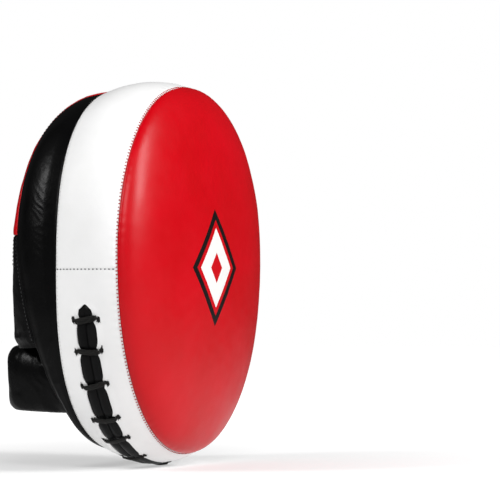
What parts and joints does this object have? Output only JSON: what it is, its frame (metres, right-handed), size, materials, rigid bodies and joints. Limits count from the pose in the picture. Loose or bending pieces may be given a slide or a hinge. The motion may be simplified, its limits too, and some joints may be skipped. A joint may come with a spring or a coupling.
{
  "type": "round punch mitt",
  "caption": "Round domed punch mitt with a laced side wall, padded hand pocket, palm grip and a wrist cuff with a peel-open strap.",
  "frame": {"origin": "middle of the footprint, at the lowest point of the rim, with the mitt standing upright on its rim", "axes": "+Z towards the fingertips, -Y out of the strike face, +X towards the thumb side; the laced side of the wall is at -X"},
  "size_m": [0.2975, 0.1753, 0.3306],
  "materials": {
    "red_leather": "smooth semi-gloss coated leather",
    "white_leather": "smooth satin coated leather",
    "black_leather": "soft semi-gloss creased leather",
    "lace_cotton": "flat woven cotton",
    "soft_foam": "matte open-cell foam",
    "dense_foam": "matte closed-cell foam",
    "shock_foam": "matte closed-cell foam",
    "board": "raw fibre board",
    "wadding": "felted fibre",
    "lining": "brushed knit lining",
    "strap_webbing": "woven strap",
    "hook_tape": "hook tape",
    "loop_tape": "loop pile tape"
  },
  "bodies": {
    "mitt": {"strike_face": "red_leather", "face_padding": "soft_foam", "impact_foam": "dense_foam", "shock_foam": "shock_foam", "backing_board": "board", "palm_side_foam": "soft_foam", "edge_wadding": "wadding", "side_wall_upper": "white_leather", "side_wall_lower": "white_leather", "lace_facing_front": "black_leather", "lace_facing_rear": "black_leather", "lace": "lace_cotton", "back_panel": "black_leather", "palm_lining": "lining", "palm_grip": "black_leather", "hood_panel": "red_leather", "hood_padding": "soft_foam", "dorsal_panel": "black_leather", "dorsal_padding": "soft_foam", "pocket_lining": "lining", "gusset_pinky": "black_leather", "gusset_thumb": "black_leather", "gusset_padding_pinky": "soft_foam", "gusset_padding_thumb": "soft_foam", "wrist_cuff": "black_leather", "cuff_padding": "soft_foam", "cuff_lining": "lining", "strap_anchor": "black_leather", "loop_patch": "loop_tape"},
    "strap": {"wrist_strap": "strap_webbing", "hook_patch": "hook_tape"}
  },
  "joints": [
    {"name": "strap_peel", "type": "hinge", "parent": "mitt", "child": "strap", "pos_m": [0.052, 0.08795, 0.0774], "axis": [0, 0, -1], "range_deg": [0, 150]}
  ]
}
